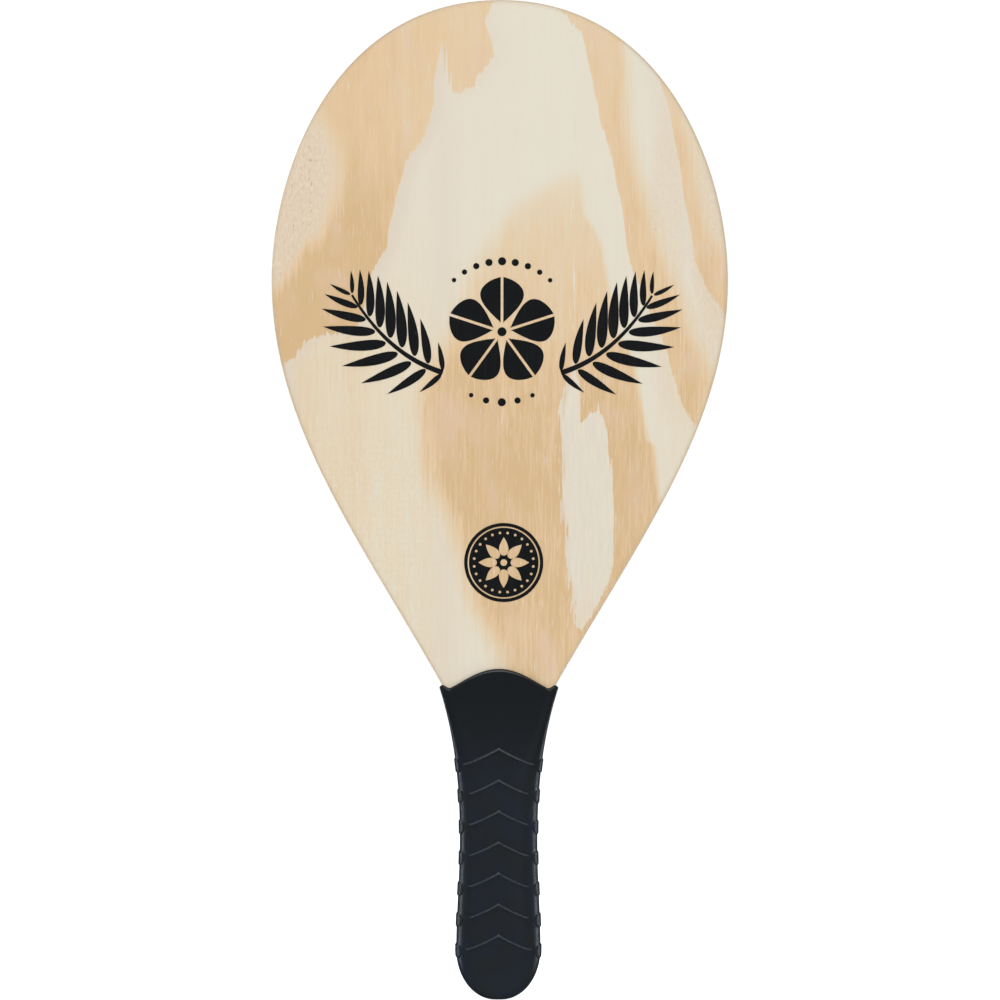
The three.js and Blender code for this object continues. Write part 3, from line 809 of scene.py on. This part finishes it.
def endInk(graph, outlines, given):
    # closed outlines become plates of ink with ragged edges, and inner outlines are left as holes
    rough = raggedEdge(graph, outlines, given["ragged"], given["seed"])
    flat = graph.add("GeometryNodeFillCurve", {"Curve": rough})
    lid = graph.add("GeometryNodeExtrudeMesh", {
        "Mesh": flat, "Offset": (0, 0, 1), "Offset Scale": given["thickness"], "Individual": False,
    })
    floor = graph.add("GeometryNodeFlipFaces", {"Mesh": flat})
    plates = {"Geometry": graph.joined([lid, floor]), "Distance": 0.001}
    return endTree(graph, graph.add("GeometryNodeMergeByDistance", plates), given["material"])


inkSizes = ["thickness", "ragged", "seed"]


def makeOutlineTree():
    graph, given = geometryTree("inkPlates", inkSizes)
    curves = graph.add("GeometryNodeMeshToCurve", {"Mesh": given["geometry"]})
    fine = graph.add("GeometryNodeResampleCurve", {"Curve": curves, "Length": ink["step"]}, mode="LENGTH")
    return endInk(graph, fine, given)


frond = {
    "line": [(27, 206), (43, 211), (56, 222), (67, 240)],  # right frond, from the flower to the tip
    "lineSteps": 40, "leafCorners": 40, "stemWidth": 2.4, "stemTip": 1,
    "growth": [(0, 0.5), (0.14, 0.82), (0.36, 1), (0.62, 0.92), (0.85, 0.66), (1, 0.4)],
}
leaflets = {
    "number": 9, "length": 25, "width": 3.05, "stemGap": 2, "baseAngle": 1.15, "tipAngle": 0.62, "bend": 2.5,
}


def makeFrondTree():
    # leaflets in pairs along a stem, opening less and growing shorter towards its tip
    sizes = [key for key in leaflets if key != "number"]
    graph, given = geometryTree("frondLeaflets", [*sizes, *inkSizes], ["number"])
    stem = graph.add("GeometryNodeMeshToCurve", {"Mesh": given["geometry"]})
    spots = graph.add("GeometryNodeResampleCurve", {"Curve": stem, "Count": given["number"]}, mode="COUNT")
    along = graph.add("GeometryNodeSplineParameter", output="Factor")
    tangent = graph.add("GeometryNodeInputTangent").split()
    heading = graph.math("ARCTAN2", tangent[1], tangent[0])
    opening = graph.mixNumber(along, given["baseAngle"], given["tipAngle"])
    growth = along.curve(frond["growth"], (0, 1), (0, 1))
    leaves = []
    for side in (1, -1):
        settings = {"Resolution": frond["leafCorners"], "Radius": 1.0}
        ring = graph.add("GeometryNodeCurvePrimitiveCircle", settings)
        spot = graph.add("GeometryNodeInputPosition").split()
        share = (spot[0] + 1) * 0.5
        taper = graph.math("SQRT", (1 - share).atLeast(0))
        wide = spot[1] * taper * given["width"] + share * share * given["bend"] * -side
        shape = graph.combine(given["stemGap"] + share * given["length"], wide)
        leaves.append(graph.add("GeometryNodeInstanceOnPoints", {
            "Points": spots,
            "Instance": graph.add("GeometryNodeSetPosition", {"Geometry": ring, "Position": shape}),
            "Rotation": graph.combine(0, 0, heading + opening * side),
            "Scale": graph.combine(growth, growth, 1.0),
        }))
    return endInk(graph, graph.add("GeometryNodeRealizeInstances", {"Geometry": graph.joined(leaves)}), given)


flower = {
    "centre": (1, 224), "petals": 5, "inner": 3.8, "length": 20.3, "width": 9.6, "vein": 0.6, "heart": 2,
    "outwards": 1.45, "fullness": 0.62,  # a petal is widest past its middle, and full there
    "notch": 0.93, "steps": 26,
}
beads = {
    "radius": 31, "size": 1.8, "shrink": 0.45, "steps": 18,
    "fans": [(math.pi / 2, 1.5, 9), (-math.pi / 2, 0.9, 5)],  # middle, spread and number of beads
}
rosette = {
    "centre": (2, 122.5), "radius": 17.4, "band": 1.5, "bandWidth": 0.6, "hub": 1.5,
    "petals": 8, "petalInner": 3, "petalLength": 8.2, "petalWidth": 2.1, "petalSteps": 28,
    "dots": 24, "dotRing": 13.1, "dotSize": 0.62, "ringSteps": 120, "bandSteps": 110, "dotSteps": 14,
}


def wireObject(name, lines, closed):
    # lines of (x, y) as one mesh of edges
    points, edges = [], []
    for line in lines:
        first, count = len(points), len(line)
        points += [(x, y, 0) for x, y in line]
        edges += [(first + i, first + (i + 1) % count) for i in range(count if closed else count - 1)]
    mesh = bpy.data.meshes.new(name)
    mesh.from_pydata(points, edges, [])
    return link(name, mesh)


def standOnFace(piece):
    # from the flat drawing in millimetres to the front face in metres
    lay = (Matrix.Translation((0, -(faceDepth - ink["sink"]) * mm, 0))
           @ Matrix.Rotation(math.pi / 2, 4, "X") @ Matrix.Scale(mm, 4))
    piece.data.transform(lay)
    piece.data.set_sharp_from_angle(angle=math.radians(35))


def turned(points, angle, centre):
    c, s = math.cos(angle), math.sin(angle)
    return [(centre[0] + x * c - y * s, centre[1] + x * s + y * c) for x, y in points]


def circle(centre, radius, count, start=0.0):
    turns = [start + 2 * math.pi * i / count for i in range(count)]
    return [(centre[0] + radius * math.cos(t), centre[1] + radius * math.sin(t)) for t in turns]


def mirrored(points, mirror):
    middle = flower["centre"][0]
    return [(mirror * (x - middle) + middle, y) for x, y in points]


def frondStem():
    # the stem as a closed outline that tapers to its tip
    along = np.gradient(frondLine, axis=0)
    along /= np.linalg.norm(along, axis=1)[:, None]
    half = np.linspace(frond["stemWidth"], frond["stemTip"], len(frondLine))[:, None] / 2
    normal = np.stack([-along[:, 1], along[:, 0]], 1) * half
    return np.concatenate([frondLine + normal, (frondLine - normal)[::-1]])


def flowerPetalHalf(side):
    # half a rounded petal along +X, open along its vein
    inner, length, vein = flower["inner"], flower["length"], side * flower["vein"]
    points = []
    for i in range(flower["steps"] + 1):
        share = i / flower["steps"]
        bulge = math.sin(math.pi * share ** flower["outwards"]) ** flower["fullness"] if 0 < share < 1 else 0
        points.append((inner + length * share, side * max(flower["vein"], flower["width"] * bulge)))
    return points + [(inner + length * flower["notch"], vein), (inner + 0.8, vein)]


def rosettePetal():
    # a pointed leaf along +X, with 0.77 as the height of its curve before it is scaled
    points = []
    for i in range(rosette["petalSteps"]):
        turn = 2 * math.pi * i / rosette["petalSteps"]
        share = (1 - math.cos(turn)) / 2
        half = rosette["petalWidth"] * math.sin(turn) * math.sqrt(1.001 - share) / 0.77
        points.append((rosette["petalInner"] + rosette["petalLength"] * share, half))
    return points


def flowerLines():
    lines = [mirrored(frondStem(), mirror) for mirror in (1, -1)]
    for i in range(flower["petals"]):
        angle = math.pi / 2 + 2 * math.pi * i / flower["petals"]
        lines += [turned(flowerPetalHalf(side), angle, flower["centre"]) for side in (1, -1)]
    lines.append(circle(flower["centre"], flower["heart"], 24))
    for facing, spread, number in beads["fans"]:
        for i in range(number):
            share = 2 * i / (number - 1) - 1
            spot = turned([(beads["radius"], 0)], facing + spread / 2 * share, flower["centre"])[0]
            lines.append(circle(spot, beads["size"] * (1 - beads["shrink"] * abs(share)), beads["steps"]))
    return lines


def rosetteLines():
    middle, inside, steps = rosette["centre"], rosette["radius"] - rosette["band"], rosette["bandSteps"]
    lines = [circle(middle, rosette["radius"], rosette["ringSteps"]), circle(middle, inside, steps),
             circle(middle, inside - rosette["bandWidth"], steps), circle(middle, rosette["hub"], 24)]
    for i in range(rosette["petals"]):
        lines.append(turned(rosettePetal(), 2 * math.pi * i / rosette["petals"], middle))
    for spot in circle(middle, rosette["dotRing"], rosette["dots"], math.pi / rosette["dots"]):
        lines.append(circle(spot, rosette["dotSize"], rosette["dotSteps"]))
    return lines


inkBlack = inkMaterial()


def inkPiece(name, tree, lines, closed, sizes):
    piece = bakeNodes(wireObject(name, lines, closed), tree, {
        "thickness": ink["thickness"] + ink["sink"], "ragged": ink["ragged"], "material": inkBlack, **sizes,
    })
    standOnFace(piece)
    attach(piece, "root")


frondLine = np.concatenate([bezier(frond["line"], frond["lineSteps"]), frond["line"][-1:]])
frondTree, outlineTree = makeFrondTree(), makeOutlineTree()
inkPiece("right_frond_print", frondTree, [mirrored(frondLine, 1)], False, {"seed": 4.0, **leaflets})
inkPiece("left_frond_print", frondTree, [mirrored(frondLine, -1)], False, {"seed": 2.0, **leaflets})
inkPiece("flower_print", outlineTree, flowerLines(), True, {"seed": 9.0})
inkPiece("rosette_print", outlineTree, rosetteLines(), True, {"seed": 14.0})
print("print made")


# The rubber sleeve. Its rows are bent along the chevrons, and the geometry tree raises them.
chevron = {
    "first": 40.6, "last": -40.9, "count": 7,
    "armReach": 12.8, "armDrop": 6, "sideDrop": 7.4, "peakSlope": 0.56,
    "clear": 4.6,  # from the last chevron to where the rows start to straighten
}
chevron["pitch"] = (chevron["first"] - chevron["last"]) / (chevron["count"] - 1)
relief = {
    "first": chevron["first"], "pitch": chevron["pitch"],
    "proud": 0.49, "ribHalf": 0.2, "ribFlank": 0.42, "padHalf": 2.5, "padFlank": 0.8,
    "armEnd": 12,  # a rib sinks into the wall here, short of its pad
    "armExtra": 2.5,  # the first rib is longer, because the wall is flatter there, and so is the last
    "armFade": 1.4,
}
padShares = {"padStart": 0.82, "padFull": 0.97}  # of the way from the middle to the side
lip = {
    "rise": 7.1, "dip": 1.5, "dipReach": 22, "cornerWidth": 1.8,
    # the top edge as distances in and down: a narrow facet, then a slope in to the wood
    "profile": [(0.04, 1.3), (0.14, 1.12), (0.36, 0.84), (0.46, 0.74), (0.6, 0.65), (1, 0.39), (1.4, 0.12)],
    "squeeze": 0.22,  # the lip closes on the wood more tightly than the wall below it
    "below": 0.15,  # from the last row of the flare up to the profile
    "innerDrop": 0.05,  # of the profile's last row, against the wood
    "dark": (0.36, 0.46),  # where on the profile the painted shade of the inside sets in
}
sleeve = {
    "girth": 192, "domeRows": 46, "flareRows": 46, "innerRows": 36,
    # distances from a chevron's middle, and the steps between rows there
    "rowSteps": [(0, 0.14), (0.8, 0.15), (1.3, 0.3), (2.3, 0.25), (3.6, 0.3), (4.4, 0.8), (7, 0.9)],
    "settle": 6, "innerRoundness": 3, "innerMouthRoundness": 14, "floor": 0.3,
    "corner": 1.03, "cornerReach": 0.25, "cornerDensity": 1.6,  # columns crowd at this turn, in radians
}


def columnTurns():
    # steps round the section lie closer together at its four corners, where the pads begin
    fine = np.linspace(0, math.pi / 2, 2000)
    crowd = np.exp(-((fine - sleeve["corner"]) / sleeve["cornerReach"]) ** 2)
    density = 1 + sleeve["cornerDensity"] * crowd
    share = np.concatenate([[0], np.cumsum((density[1:] + density[:-1]) / 2)])
    quarter = np.interp(np.linspace(0, share[-1], sleeve["girth"] // 4 + 1), share, fine)
    half = np.concatenate([quarter, math.pi - quarter[-2::-1]])
    return np.concatenate([half, half[1:-1] + math.pi])


turns = columnTurns()


def section(z, wall=0.0):
    # x, y and outward direction of the sleeve's section, one height for each step round it
    half, depth = gripHalfWidth(z) - wall, gripHalfDepth(z) - wall
    if np.any(wall):
        power = lerp(sleeve["innerRoundness"], sleeve["innerMouthRoundness"], thinning(z))
    else:
        power = lerp(grip["roundness"], grip["mouthRoundness"], thinning(z))
    across, forward = np.sin(turns), -np.cos(turns)
    across[[0, sleeve["girth"] // 2]] = 0
    spread = (np.abs(across) ** power + np.abs(forward) ** power) ** (-1 / power)
    u, v = across * spread, forward * spread
    nx = np.sign(u) * np.abs(u) ** (power - 1) / half
    ny = np.sign(v) * np.abs(v) ** (power - 1) / depth
    size = np.hypot(nx, ny)
    return u * half, v * depth, np.stack([nx / size, ny / size, np.zeros_like(nx)], 1)


def armDrop(x):
    reach = np.minimum(x / chevron["armReach"], 1)
    straight = chevron["peakSlope"] * chevron["armReach"]
    past = smoothShare(x, chevron["armReach"], grip["waistHalf"]) * (chevron["sideDrop"] - chevron["armDrop"])
    return straight * reach - (straight - chevron["armDrop"]) * reach ** 2 + past


def lipHeight(x):
    corner = grip["mouthHalf"] - lip["cornerWidth"]
    low = grip["mouth"] - lip["dip"]
    arch = lerp(low, grip["mouth"] + lip["rise"], np.cos(np.pi / 2 * np.minimum(x / lip["dipReach"], 1)))
    return np.maximum(arch, lerp(low, grip["mouth"], smoothShare(x, lip["dipReach"], corner)))


def settledRow(heightAt, wall=0.0):
    # a row whose height depends on the distance from the middle, which depends on its height
    z = np.full(sleeve["girth"], heightAt(np.zeros(1))[0])
    for _ in range(sleeve["settle"]):
        x, y, outward = section(z, wall)
        z = heightAt(np.abs(x))
    x, y, outward = section(z, wall)
    return np.stack([x, y, z], 1), outward


def bandLevels(lowest, highest):
    # heights of the rows through the chevrons, closest together on the ribs and the pads' ends
    pitch = chevron["pitch"]
    levels = [lowest]
    while levels[-1] < highest:
        away = abs((chevron["first"] - levels[-1] + pitch / 2) % pitch - pitch / 2)
        levels.append(levels[-1] + np.interp(away, *zip(*sleeve["rowSteps"])))
    return [lerp(lowest, highest, (level - lowest) / (levels[-1] - lowest)) for level in levels[:-1]]


def sleeveRows():
    # each row has its points, their outward directions, its level, how far it is skin, and how much of the
    # inside's painted shade it takes
    lowest, highest = chevron["last"] - chevron["clear"], chevron["first"] + chevron["clear"]
    rows = []
    for i in range(sleeve["domeRows"]):
        share = 1 - math.cos(math.pi / 2 * i / sleeve["domeRows"])
        height = lerp(grip["butt"], lowest, share)
        rows.append((*settledRow(lambda x: height - share * armDrop(x)), height, 0.0, 0.0))
    for height in bandLevels(lowest, highest):
        rows.append((*settledRow(lambda x: height - armDrop(x)), height, 1.0, 0.0))
    firstDown = lip["profile"][0][1]
    for i in range(sleeve["flareRows"] + 1):
        share = i / sleeve["flareRows"]
        edge = lambda x: lerp(highest - armDrop(x), lipHeight(x) - firstDown - lip["below"], share)
        rows.append((*settledRow(edge), highest, 0.0, 0.0))

    # over the lip and in to the wood
    wall = grip["lipWall"] + lip["squeeze"]
    outer, outward = settledRow(lambda x: lipHeight(x) - firstDown)
    inner, _ = settledRow(lambda x: lipHeight(x) - firstDown, wall)
    top = lipHeight(np.abs(outer[:, 0]))
    for across, down in [*lip["profile"], (wall, lip["innerDrop"])]:
        row = lerp(outer, inner, across / wall)
        row[:, 2] = top - down
        # the slope in to the wood takes the painted shade of the inside
        rows.append((row, outward, highest, 0.0, smoothShare(across, *lip["dark"])))

    # down the inside, clear of the wood, to the floor under the end of the tang
    bottom = blade["tangEnd"] - sleeve["floor"]
    for i in range(1, sleeve["innerRows"] + 1):
        share = i / sleeve["innerRows"]
        z = lerp(top - 0.1, bottom, share ** 1.2)
        thickness = lerp(grip["wall"], grip["lipWall"], thinning(z)) + lip["squeeze"] * max(0, 1 - 8 * share)
        x, y, _ = section(z, thickness)
        rows.append((np.stack([x, y, z], 1), outward, highest, 0.0, 1.0))
    return rows


def makeSleeve():
    count = sleeve["girth"]
    points, outward, level, skin, inside = zip(*sleeveRows())
    ends = [points[0].mean(0), points[-1].mean(0)]
    last = (len(points) - 1) * count
    faces = [face for i in range(len(points) - 1) for face in ringFaces(i, count)]
    points = np.concatenate([*points, ends])
    hub = len(points) - 2
    faces += [(hub, k, (k + 1) % count) for k in range(count)]
    faces += [(hub + 1, last + k, last + (k + 1) % count) for k in range(count)]
    return makePiece("rubber_grip", points, faces, {
        "level": np.append(np.repeat(level, count), (0, 0)) * mm,
        "reach": np.abs(points[:, 0]) / gripHalfWidth(points[:, 2]),
        "skin": np.append(np.repeat(skin, count), (0, 0)),
        "inside": np.append(np.repeat(inside, count), (0, 1)),
        "outward": np.concatenate([*outward, [(0, 0, -1), (0, 0, 1)]]),
    }, crease=50)


def makeChevronTree():
    # raises the chevrons: fine arms on both faces that fade out, and wide pads at the sides
    graph, given = geometryTree("chevronRelief", [*relief, *padShares], ["count"])
    first, pitch, count = given["first"], given["pitch"], given["count"]

    def stored(name, kind="FLOAT"):
        return graph.add("GeometryNodeInputNamedAttribute", {"Name": name}, data_type=kind)

    level = stored("level")
    nearest = graph.math("ROUND", (first - level) / pitch).atLeast(0).atMost(count - 1)
    away = abs(level - (first - nearest * pitch))
    widening = stored("reach").smooth(given["padStart"], given["padFull"])
    half = graph.mixNumber(widening, given["ribHalf"], given["padHalf"])
    flank = graph.mixNumber(widening, given["ribFlank"], given["padFlank"])
    last = first - (count - 1) * pitch
    longer = level.smooth(first - pitch, first).atLeast(level.smooth(last + pitch, last, 0, 0.5))
    armStart = given["armEnd"] + given["armExtra"] * longer
    x = graph.add("GeometryNodeInputPosition").split()[0]
    arm = abs(x).smooth(armStart, armStart + given["armFade"], 1.0, 0.0)
    crest = away.smooth(half, half + flank, 1.0, 0.0) * stored("skin") * arm.atLeast(widening)
    push = graph.scaled(stored("outward", "FLOAT_VECTOR"), crest * given["proud"])
    raised = graph.add("GeometryNodeSetPosition", {"Geometry": given["geometry"], "Offset": push})
    kept = graph.add("GeometryNodeStoreNamedAttribute", {
        "Geometry": raised, "Name": "crest", "Value": crest,
    }, data_type="FLOAT", domain="POINT")
    return endTree(graph, kept, given["material"])


rubber = {
    "colour": tint(31, 36, 40), "blue": tint(29, 35, 46), "mouth": tint(23, 27, 31),
    # inside is a near-black painted shade colour for the lip's slope and the inner wall
    # worn is the colour of the rib crests: partly wear, partly a painted highlight
    "worn": tint(66, 72, 79), "inside": tint(10, 12, 14), "roughness": 0.36, "sheen": 0.35,
    "clouds": ((0.09, 0.09, 0.07), 2, 0.5), "mottle": ((1.6, 1.6, 1.6), 3, 0.6),
    "grains": ((6, 6, 6), 2, 0.6), "bump": (0.08, 0.7),
}


def rubberMaterial():
    graph, place = shaderGraph("moulded black rubber")
    clouds, mottle, grainy = [place.noise(*rubber[kind]) for kind in ("clouds", "mottle", "grains")]
    colour = graph.mix(clouds.smooth(0.4, 0.65), rubber["colour"], rubber["blue"])
    colour = graph.mix(place.split()[2].smooth(20, 55), colour, rubber["mouth"])
    # the crests of the ribs are painted lighter: partly wear, partly a painted highlight of the light from
    # above
    ribWearAndHighlight = graph.attribute("crest").smooth(0.3, 0.9) * graph.attribute("reach").smooth(0.9, 0.8)
    colour = graph.mix(ribWearAndHighlight * mottle.smooth(0.25, 0.6) * 0.8, colour, rubber["worn"])
    # painted shade: the lip's slope in to the wood and the inside of the sleeve are painted near black, and
    # rougher
    inside = graph.attribute("inside")
    return graph.shade({
        "Base Color": graph.mix(inside * 0.9, colour, rubber["inside"]),
        "Roughness": rubber["roughness"] + mottle.centred(0.08) + inside * 0.3,
        "Specular IOR Level": rubber["sheen"],
        "Normal": graph.bump(mottle * 0.6 + grainy * 0.4, *rubber["bump"]),
    })


gripSleeve = bakeNodes(makeSleeve(), makeChevronTree(), {
    **{key: size * mm for key, size in relief.items()},
    **padShares, "count": chevron["count"], "material": rubberMaterial(),
})
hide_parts("grip_sleeve")
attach(gripSleeve, "root")
print("sleeve made")


# A wide pale floor, a sky that is bright near the horizon, soft lights, and the camera square to
# the front face.
stage = {
    "floorReach": 40000,
    "drop": 0.5,  # gap between the butt and the floor
    "colour": (0.84, 0.84, 0.84, 1), "glow": 0.88, "horizon": 1.04, "zenith": 0.1,
}
white = (1, 1, 1)


def makeStage():
    reach, height = stage["floorReach"], grip["butt"] - stage["drop"]
    corners = [(x * reach, y * reach, height) for x, y in ((-1, -1), (1, -1), (1, 1), (-1, 1))]
    floor = makePiece("studio_floor", corners, [(0, 1, 2, 3)], {})
    floor.data.materials.append(shaderGraph("pale studio floor")[0].shade({
        "Base Color": stage["colour"], "Roughness": 0.9, "Specular IOR Level": 0.1,
        "Emission Color": (*white, 1), "Emission Strength": stage["glow"],
    }))
    floor.visible_glossy = False  # only the lamps shine on the rubber

    world = bpy.data.worlds.new("studio air")
    world.use_nodes = True
    air = Graph(world.node_tree)
    up = air.add("ShaderNodeTexCoord", output="Generated").split()[2]
    background = world.node_tree.nodes["Background"].inputs
    air.feed(background["Strength"], up.smooth(0.12, 0.4, stage["horizon"], stage["zenith"]))
    background["Color"].default_value = (*white, 1)
    scene.world = world
    world.cycles_visibility.glossy = False


coolWhite = (0.84, 0.92, 1)
lamps = {  # place and size in metres, power, colour
    "key": ((-1.5, -2.5, 2.0), (1.4, 1.4), 6.5, white),
    "fill": ((1.7, -2.6, 0.9), (1.2, 1.6), 2.8, white),
    "top": ((0.0, -0.5, 2.1), (1.6, 0.9), 28, white),
    "leftStrip": ((-1.2, 0.78, 0.15), (0.14, 1.3), 4.4, coolWhite),
    "rightStrip": ((1.2, 0.78, 0.15), (0.14, 1.3), 4.4, coolWhite),
    "back": ((0.6, 2.4, 1.6), (1.8, 1.4), 5.5, white),
}
aim = Vector((0, 0, 0.14))


def makeLamps():
    for name, (place, size, power, colour) in lamps.items():
        data = bpy.data.lights.new(name, "AREA")
        data.shape = "RECTANGLE"
        data.size, data.size_y = size
        data.energy, data.color = power, colour
        light = link(name, data)
        light.location = place
        light.rotation_euler = (aim - light.location).to_track_quat("-Z", "Y").to_euler()


view = {
    "lens": 200, "sensor": 36, "height": 150.0, "aside": 0.3,
    "pictureWidth": 439.8,  # what the picture takes in at the front face
    "lean": 0.125,  # degrees by which the racket leans to the right in the picture
}


def makeCamera():
    data = bpy.data.cameras.new("camera")
    data.lens, data.sensor_width = view["lens"], view["sensor"]
    camera = link("camera", data)
    distance = view["pictureWidth"] * view["lens"] / view["sensor"] + faceDepth
    camera.location = (view["aside"] * mm, -distance * mm, view["height"] * mm)
    camera.rotation_mode = "QUATERNION"
    level = Quaternion((1, 0, 0), math.pi / 2)
    camera.rotation_quaternion = level @ Quaternion((0, 0, 1), math.radians(view["lean"]))
    scene.camera = camera


makeStage()
makeLamps()
makeCamera()
scene.view_settings.view_transform = "Standard"
print("studio made")
